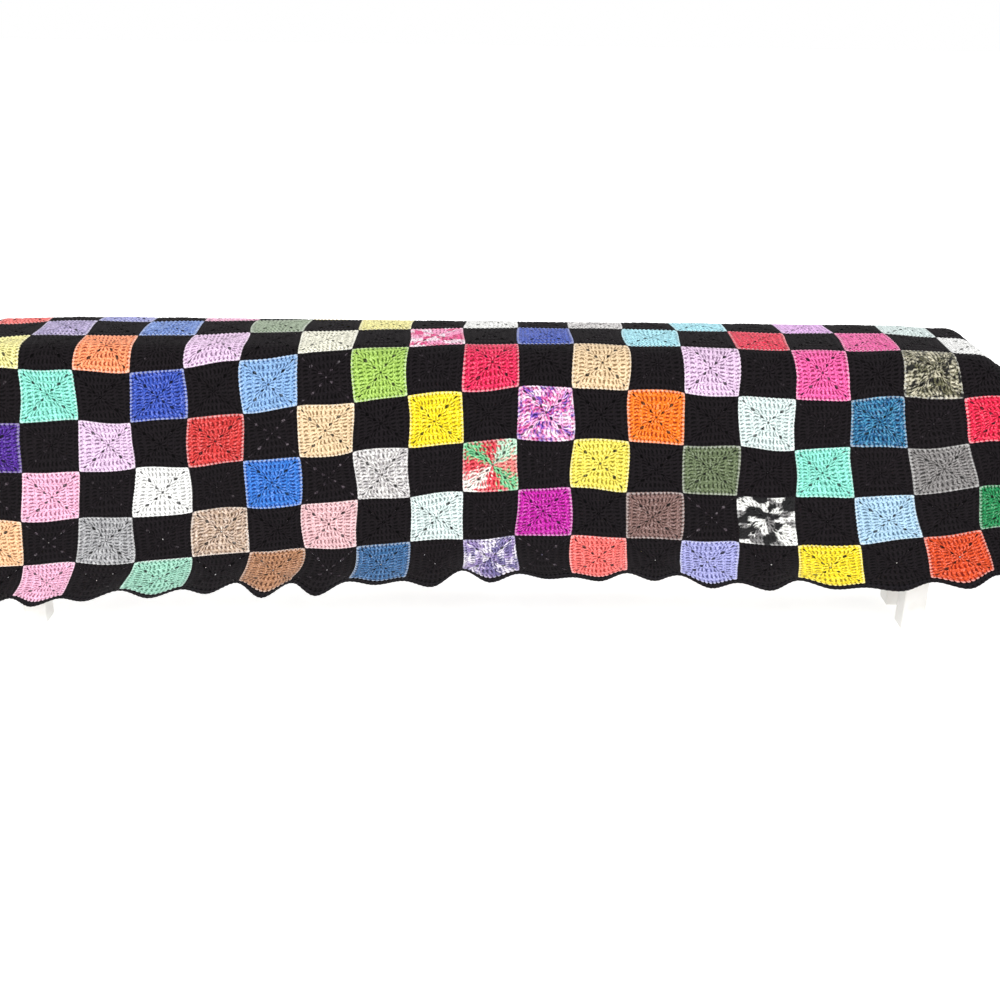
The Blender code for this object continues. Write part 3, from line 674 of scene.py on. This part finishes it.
def yarn_material(name, sheen, shine, depth, edge_paleness):
    """Crocheted yarn: its colour by stitch, painted deep shade between the posts, twisted plies,
    fuzz.
    """
    material, tree, shader = new_material(name, Roughness=0.86, Sheen_Weight=sheen,
                                          Sheen_Roughness=0.5)
    shader.inputs["Specular IOR Level"].default_value = shine
    colour = put(tree, "Attribute", {}, attribute_name="Yarn").outputs["Color"]
    stitch = put(tree, "UVMap", {}, uv_map="Stitches").outputs[0]
    across, along = put(tree, "SeparateXYZ", {0: stitch}).outputs[:2]
    place = put(tree, "TexCoord", {}).outputs["Object"]
    stray = put(tree, "TexNoise", {"Vector": place, "Scale": 210.0, "Detail": 2.0}).outputs[0]
    stray = calculate(tree, "MULTIPLY", calculate(tree, "SUBTRACT", stray, 0.5), 0.8)
    share = calculate(tree, "FRACT", along)
    column = calculate(tree, "FRACT", calculate(tree, "ADD", across, stray))

    def fade(value, start, end, low=0.0, high=1.0):
        """A soft change from low to high while the value goes from start to end."""
        inputs = {0: value, 1: start, 2: end, 3: low, 4: high}
        return put(tree, "MapRange", inputs, interpolation_type="SMOOTHSTEP").outputs[0]

    from_post = calculate(tree, "ABSOLUTE", calculate(tree, "SUBTRACT", column, 0.5))
    beside = calculate(tree, "MULTIPLY", fade(from_post, 0.16, 0.45),
                       calculate(tree, "MULTIPLY", fade(share, 0.76, 0.56), fade(share, 0.02, 0.20)))
    from_notch = calculate(tree, "ABSOLUTE", calculate(tree, "SUBTRACT", column, 0.33))
    notch = calculate(tree, "MULTIPLY", fade(from_notch, 0.22, 0.04), fade(share, 0.80, 0.92))
    foot = calculate(tree, "MULTIPLY", fade(share, 0.10, 0.0), 0.6)
    hollow = calculate(tree, "MAXIMUM", calculate(tree, "MAXIMUM", beside, notch), foot)
    fuzz = put(tree, "TexNoise", {"Vector": place, "Scale": 1500.0, "Detail": 2.0}).outputs[0]
    flecks = put(tree, "TexNoise", {"Vector": place, "Scale": 330.0, "Detail": 2.0}).outputs[0]
    turns = calculate(tree, "ADD", calculate(tree, "MULTIPLY", share, 26.0),
                      calculate(tree, "MULTIPLY", across, 9.0))
    plies = calculate(tree, "SINE", turns)
    # painted shade: darker in the hollows between the posts, at the notches of their tops and at the
    # foot of each round, with the posts a little lighter
    shade = fade(hollow, 0.0, 1.0, 1.05, depth)
    for texture, low, high, dark, light in ((fuzz, 0.25, 0.75, 0.88, 1.10),
                                            (flecks, 0.30, 0.70, 0.74, 1.22),
                                            (plies, -1.0, 1.0, 0.94, 1.04)):
        shade = calculate(tree, "MULTIPLY", shade, fade(texture, low, high, dark, light))
    # the painted shade in the hollows takes on the yarn's colour again, as light bounced between
    # strands does
    softened = put(tree, "VectorMath", {0: colour, 1: (0.8, 0.8, 0.8), 2: (0.2, 0.2, 0.2)},
                   operation="MULTIPLY_ADD").outputs[0]
    deep = put(tree, "VectorMath", {0: colour, 1: softened}, operation="MULTIPLY").outputs[0]
    mixed = blend_colours(tree, hollow, colour, deep)
    pale = calculate(tree, "MULTIPLY", fade(along, 3.30, 3.70, 0.0, edge_paleness),
                     fade(from_post, 0.46, 0.18))
    # a painted highlight where stray fibres on the raised strands catch the light, but not on black
    # yarn
    painted_highlight = calculate(tree, "MULTIPLY", fade(flecks, 0.50, 0.66), fade(hollow, 0.30, 0.0, 0.0, 0.18))
    lightness = put(tree, "RGBToBW", {0: colour}).outputs[0]
    pale = calculate(tree, "MULTIPLY", calculate(tree, "MAXIMUM", pale, painted_highlight),
                     fade(lightness, 0.012, 0.05))
    tint = put(tree, "VectorMath", {0: colour, 1: (0.4, 0.4, 0.4), 2: (0.56, 0.56, 0.55)},
               operation="MULTIPLY_ADD").outputs[0]
    paled = blend_colours(tree, pale, mixed, tint)
    shaded = put(tree, "VectorMath", {0: paled, 3: shade}, operation="SCALE").outputs[0]
    tree.links.new(shaded, shader.inputs["Base Color"])
    height = calculate(tree, "ADD", calculate(tree, "MULTIPLY", plies, 0.22),
                       calculate(tree, "MULTIPLY", fuzz, 0.5))
    height = calculate(tree, "SUBTRACT", height, calculate(tree, "MULTIPLY", hollow, 0.8))
    bump = put(tree, "Bump", {"Strength": 0.55, "Distance": 0.0011, "Height": height}).outputs[0]
    tree.links.new(bump, shader.inputs["Normal"])
    return material


# the fourth value is how dark the painted shade in the hollows is
bright_yarn = yarn_material("Bright crochet yarn", 0.20, 0.2, 0.40, 0.50)
black_yarn = yarn_material("Black crochet yarn", 0.03, 0.08, 0.66, 0.0)


def uneven(u, v):
    """The small wander of hand-made joins, the same for every piece that meets there."""
    along = 0.0020 * np.sin(23.0 * u + 31.0 * v + 0.4) + 0.0014 * np.sin(-57.0 * u + 38.0 * v + 2.1)
    across = 0.0020 * np.sin(29.0 * u - 21.0 * v + 1.3) + 0.0014 * np.sin(47.0 * u + 61.0 * v + 5.0)
    return u + along, v + across


def mesh_piece(name, places, faces, coordinates, colours, materials, indices):
    """A smooth mesh of quads with stitch coordinates and yarn colours at the corners of its faces."""
    mesh = bpy.data.meshes.new(name)
    mesh.from_pydata(places.tolist(), [], faces.tolist())
    mesh.uv_layers.new(name="Stitches").data.foreach_set("uv", coordinates.astype(np.float32).ravel())
    attribute = mesh.color_attributes.new("Yarn", "FLOAT_COLOR", "CORNER")
    full = np.ones((len(faces) * 4, 4), dtype=np.float32)
    full[:, :3] = colours.reshape(-1, 3)
    attribute.data.foreach_set("color", full.ravel())
    for material in materials:
        mesh.materials.append(material)
    mesh.polygons.foreach_set("material_index", np.asarray(indices, dtype=np.int32))
    mesh.shade_smooth()
    mesh.update()
    obj = bpy.data.objects.new(name, mesh)
    bpy.context.scene.collection.objects.link(obj)
    return obj


random = np.random.default_rng(23)
for row in range(ROWS):
    places, faces, coordinates, colours, indices = [], [], [], [], []
    bright = iter(ROW_YARNS[row])
    for column in range(COLUMNS):
        is_bright = (column + row) % 2 == 1
        yarn = next(bright) if is_bright else "black"
        x, y, w = pattern_points.T[:3].copy()
        for _ in range(random.integers(4)):
            x, y = -y, x
        to_x, to_y = x / (SQUARE / 2), y / (SQUARE / 2)
        inner = (1 - to_x ** 2) * (1 - to_y ** 2)
        bows = random.uniform(*BOW, 4) * is_bright
        corner = CORNER_PULL[is_bright] * np.abs(to_x * to_y) ** 12
        x = x + np.where(x > 0, bows[0], -bows[1]) * to_x ** 4 * (1 - to_y ** 4) + corner * np.sign(x)
        y = y + np.where(y > 0, bows[2], -bows[3]) * to_y ** 4 * (1 - to_x ** 4) + corner * np.sign(y)
        bead = BEAD * is_bright * (w > LOOP_TOP)
        x = x + bead * np.sign(x) * (np.abs(to_x) > 0.999)
        y = y + bead * np.sign(y) * (np.abs(to_y) > 0.999)
        shift_x, shift_y = random.uniform(-SHIFT, SHIFT, 2)
        twist = random.uniform(*TWIST)
        puff = random.uniform(*PUFF)
        wander = random.normal(0.0, 1.0, (3, len(x))) * WANDER
        u = (column + 0.5) * SQUARE - HALF_U + x + inner * (shift_x - twist * y + wander[0])
        v = (row + 0.5) * SQUARE - HALF_V + y + inner * (shift_y + twist * x + wander[1])
        u, v = uneven(u, v)
        lift = LIFT * is_bright + inner * (puff + wander[2])
        places.append(laid(u, v, w + lift))
        faces.append(pattern_faces + column * len(pattern_points))
        coordinates.append(pattern_coordinates)
        colours.append(worked_in(yarn, random)[pattern_faces])
        indices += [0 if is_bright else 1] * len(pattern_faces)
    piece = mesh_piece(f"squares_row_{row + 1:02d}", np.concatenate(places), np.concatenate(faces),
                       np.concatenate(coordinates), np.concatenate(colours),
                       (bright_yarn, black_yarn), indices)
    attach(piece, "root")
    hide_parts("blanket")

# ---- Border ----------------------------------------------------------------------------------
# Two rounds of black single crochet worked round the joined squares. It is thicker than the
# squares, and each stitch bulges a little past the last.
BORDER_STITCHES = 13    # to the side of a square
BORDER_YARN = (27, 24, 28)
LOOP_BULGE = 0.0007     # how far each stitch bulges past the gaps between the stitches
BORDER_SECTION = (  # reach from the squares, height, how much of the height a stitch's end keeps
    (-0.0018, -0.0004, 1.0), (0.0030, 0.0019, 0.35), (0.0064, 0.0006, 0.6), (0.0100, 0.0020, 0.35),
    (0.0132, 0.0004, 0.5), (0.0105, -0.0016, 0.4), (0.0064, -0.0010, 0.8), (0.0030, -0.0016, 0.4),
)
steps = []
for k in range(COLUMNS * BORDER_STITCHES * 2):
    steps.append((-HALF_U + k * SQUARE / BORDER_STITCHES / 2, -HALF_V, 0, -1))
for k in range(ROWS * BORDER_STITCHES * 2):
    steps.append((HALF_U, -HALF_V + k * SQUARE / BORDER_STITCHES / 2, 1, 0))
for k in range(COLUMNS * BORDER_STITCHES * 2):
    steps.append((HALF_U - k * SQUARE / BORDER_STITCHES / 2, HALF_V, 0, 1))
for k in range(ROWS * BORDER_STITCHES * 2):
    steps.append((-HALF_U, HALF_V - k * SQUARE / BORDER_STITCHES / 2, -1, 0))
points = []
for k, (u, v, to_u, to_v) in enumerate(steps):
    at_corner = abs(abs(u) - HALF_U) < 1e-6 and abs(abs(v) - HALF_V) < 1e-6
    if at_corner:
        to_u, to_v = math.copysign(1, u), math.copysign(1, v)
    for reach, height, kept in BORDER_SECTION:
        if k % 2 == 0:
            height *= kept
            reach -= LOOP_BULGE * (reach > 0.012)
        points.append((u + reach * to_u, v + reach * to_v, height))
points = np.array(points)
u, v = uneven(points[:, 0], points[:, 1])
places = laid(u, v, points[:, 2])
across = len(BORDER_SECTION)
faces, coordinates, colours = [], [], []
for k in range(len(steps)):
    after = (k + 1) % len(steps)
    for m in range(across):
        n = (m + 1) % across
        faces.append((k * across + m, k * across + n, after * across + n, after * across + m))
        s, t = k / 2, (0.3 + m * 0.5) % 1.0 * 0.9
        coordinates.append([(s, t), (s, t + 0.1), (s + 0.5, t + 0.1), (s + 0.5, t)])
tones = np.random.default_rng(5).normal(1.0, TONE_SPREAD, len(steps) // 2)
colours = (linear(BORDER_YARN)[None, :] * tones[:, None])[np.arange(len(faces)) // (2 * across)]
border = mesh_piece("border_rounds", places, np.array(faces), np.array(coordinates),
                    np.repeat(colours, 4, axis=0),
                    (black_yarn,), np.zeros(len(faces)))
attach(border, "root")
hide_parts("border")

# ---- Floor, light and camera -----------------------------------------------------------------
# A plain pale studio floor, one large soft light from the front left above, a weaker one from
# the right, and a white surround.
LIGHTS = (  # name, place, watts, size
    ("Key", (-1.8, -3.2, 3.4), 62.0, 2.4), ("Fill", (2.6, -2.6, 2.2), 18.0, 2.0),
)
LIGHTS_AIM = np.array((0.0, 0.0, 0.35))
FLOOR_SIZE, FLOOR_MIDDLE = 24.0, (0.0, 6.0, 0.0)
CAMERA_PLACE = (-0.007, -2.335, SEAT_HEIGHT + 0.665)
CAMERA_TURN = (66.916, -0.736, -0.383)      # degrees about X, Y and Z
CAMERA_ANGLE = 42.83

bpy.ops.object.select_all(action="DESELECT")
bpy.ops.mesh.primitive_plane_add(size=FLOOR_SIZE, location=FLOOR_MIDDLE)
floor = bpy.context.object
floor.name = "Studio floor"
pale, tree, shader = new_material("Pale studio floor", Roughness=0.9)
shader.inputs["Base Color"].default_value = (0.94, 0.94, 0.94, 1.0)
shader.inputs["Emission Color"].default_value = (1.0, 1.0, 1.0, 1.0)
shader.inputs["Emission Strength"].default_value = 0.5
floor.data.materials.append(pale)

scene = bpy.context.scene
world = bpy.data.worlds.new("Studio")
scene.world = world
world.use_nodes = True
world.node_tree.nodes["Background"].inputs["Color"].default_value = (1.0, 1.0, 1.0, 1.0)
world.node_tree.nodes["Background"].inputs["Strength"].default_value = 1.0
for name, spot, energy, size in LIGHTS:
    light = bpy.data.objects.new(name, bpy.data.lights.new(name, "AREA"))
    light.data.energy = energy
    light.data.size = size
    light.location = spot
    aim = LIGHTS_AIM - np.array(spot)
    tilt = math.atan2(math.hypot(aim[0], aim[1]), -aim[2])
    light.rotation_euler = (tilt, 0, math.atan2(-aim[0], aim[1]))
    scene.collection.objects.link(light)

camera = bpy.data.objects.new("Camera", bpy.data.cameras.new("Camera"))
camera.data.angle = math.radians(CAMERA_ANGLE)
camera.location = CAMERA_PLACE
camera.rotation_euler = [math.radians(turn) for turn in CAMERA_TURN]
scene.collection.objects.link(camera)
scene.camera = camera
scene.view_settings.view_transform = "Standard"
